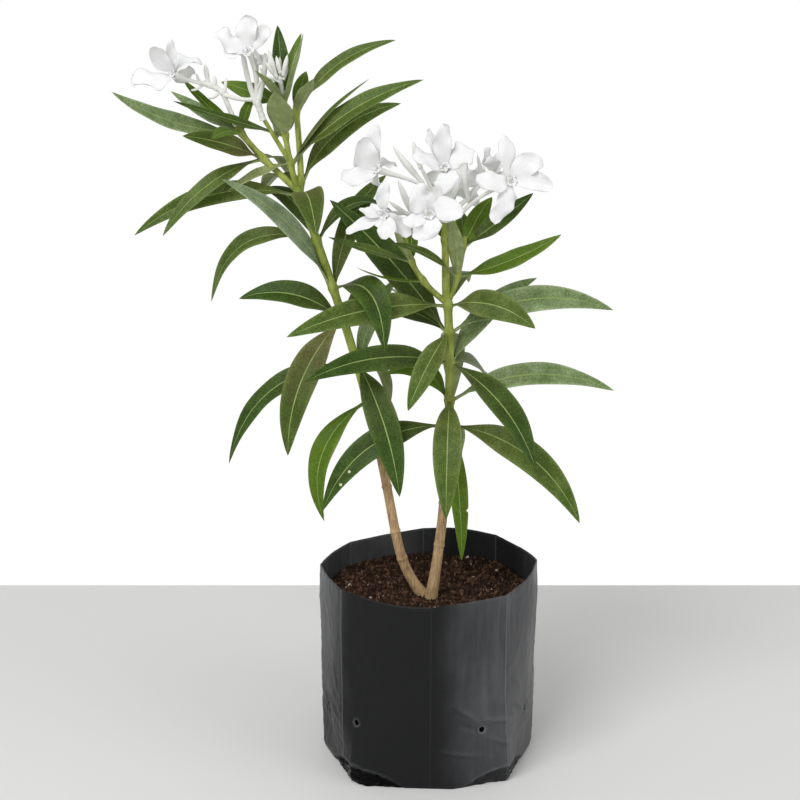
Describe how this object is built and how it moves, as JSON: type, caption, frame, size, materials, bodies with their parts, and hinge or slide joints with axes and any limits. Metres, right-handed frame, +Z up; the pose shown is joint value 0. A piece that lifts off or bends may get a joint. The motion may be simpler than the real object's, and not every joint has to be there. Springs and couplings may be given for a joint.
{
  "type": "potted oleander",
  "caption": "Young flowering shrub with slim leaning stems, whorls of long narrow leaves and clusters of five-petalled flowers, in a soft plastic grow bag filled with soil.",
  "frame": {"origin": "centre of the flat underside of the grow bag", "axes": "+Z up along the plant, +X to the right and +Y to the back as the picture shows it"},
  "size_m": [0.411, 0.2017, 0.637],
  "materials": {
    "polythene": "black film with a soft satin sheen",
    "potting_mix": "dark loose potting mix with white perlite",
    "bark": "smooth tan bark with leaf scars",
    "green_shoot": "smooth yellow-green shoot",
    "leaf": "leathery dark green with a pale midrib",
    "blossom": "soft white petals"
  },
  "bodies": {
    "root": {"grow_bag": "polythene", "soil": "potting_mix", "left_stem": "bark", "right_stem": "bark", "left_bough_side": "green_shoot", "left_bough_middle": "green_shoot", "left_bough_thin": "green_shoot", "left_bough_right": "green_shoot", "right_bough_side": "green_shoot", "right_bough_middle": "green_shoot", "right_bough_right": "green_shoot", "left_leaves_1": "leaf", "left_leaves_2": "leaf", "left_leaves_3": "leaf", "left_leaves_4": "leaf", "left_leaves_5": "leaf", "left_leaves_6": "leaf", "left_leaves_side_1": "leaf", "left_leaves_side_2": "leaf", "left_leaves_middle_1": "leaf", "left_leaves_middle_2": "leaf", "left_leaves_middle_3": "leaf", "left_leaves_right": "leaf", "left_leaves_fork": "leaf", "right_leaves_1": "leaf", "right_leaves_2": "leaf", "right_leaves_3": "leaf", "right_leaves_4": "leaf", "right_leaves_5": "leaf", "right_leaves_side_1": "leaf", "right_leaves_side_2": "leaf", "right_leaves_middle": "leaf", "right_leaves_right_1": "leaf", "right_leaves_right_2": "leaf", "left_blossom_top": "blossom", "left_blossom_side": "blossom", "left_buds": "blossom", "right_blossom": "blossom"}
  },
  "joints": []
}
